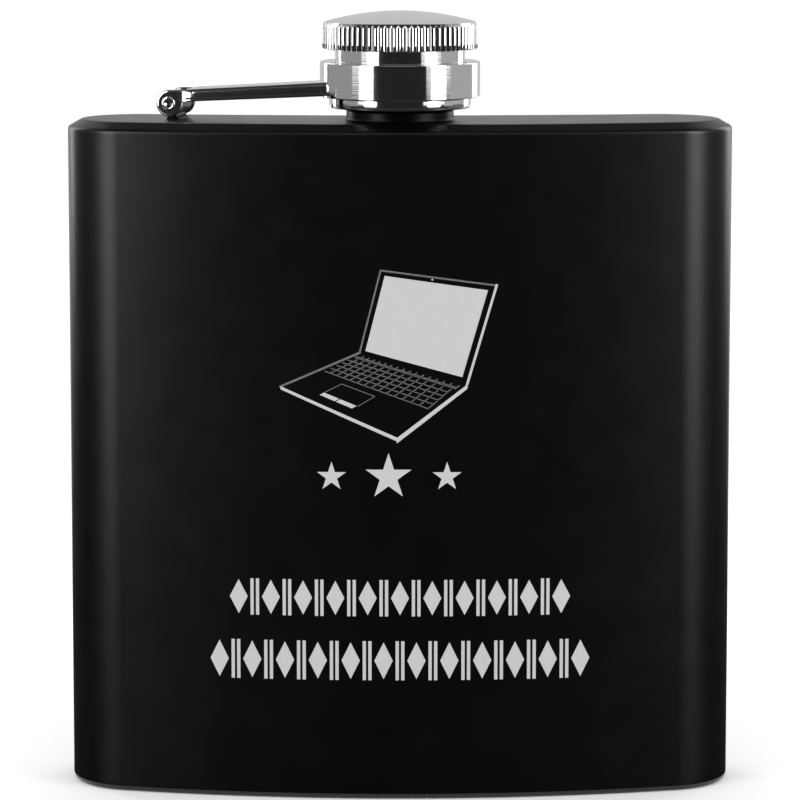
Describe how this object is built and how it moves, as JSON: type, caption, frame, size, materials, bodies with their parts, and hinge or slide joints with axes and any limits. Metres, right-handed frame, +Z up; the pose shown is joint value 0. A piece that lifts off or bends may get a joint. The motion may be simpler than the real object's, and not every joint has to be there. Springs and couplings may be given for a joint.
{
  "type": "hip flask",
  "caption": "Bent-plate pocket flask in black steel with a ribbed chrome screw cap held by a ring on a hinged arm.",
  "frame": {"origin": "on the base plane, under the axis of the neck", "axes": "+Z up along the neck's axis, -Y out of the bowed front face, -X towards the hinge of the cap's arm"},
  "size_m": [0.0944, 0.0254, 0.1109],
  "materials": {
    "body_paint": "matte",
    "neck_paint": "satin",
    "bare_steel": "welded",
    "chrome": "polished",
    "insert_steel": "turned",
    "seal": "matte"
  },
  "bodies": {
    "flask": {"body_wall": "body_paint", "body_seam_weld": "bare_steel", "top_plate": "body_paint", "bottom_plate": "body_paint", "rim_welds": "bare_steel", "neck": "neck_paint", "neck_weld": "neck_paint", "hinge_lug": "neck_paint", "hinge_lug_welds": "neck_paint"},
    "arm": {"hinge_pin": "chrome", "lid_arm": "chrome", "lid_ring": "chrome", "ring_braze": "chrome"},
    "seal": {"cap_gasket": "seal"},
    "cap": {"cap_head": "chrome", "cap_sleeve": "chrome", "threaded_insert": "insert_steel"}
  },
  "joints": [
    {"name": "arm_swing", "type": "hinge", "parent": "flask", "child": "arm", "pos_m": [-0.03184, 0.00345, 0.0978], "axis": [-0.225, -0.9744, 0], "range_deg": [0, 165]},
    {"name": "cap_rise", "type": "slide", "parent": "arm", "child": "seal", "axis": [0, 0, 1], "range_m": [0, 0.0019]},
    {"name": "cap_turn", "type": "hinge", "parent": "seal", "child": "cap", "pos_m": [0, 0, 0.1015], "axis": [0, 0, 1], "range_deg": [0, 450]}
  ],
  "couplings": [
    {"joint": "cap_rise", "follows": "cap_turn", "m_per_rad": 0.00023873}
  ]
}
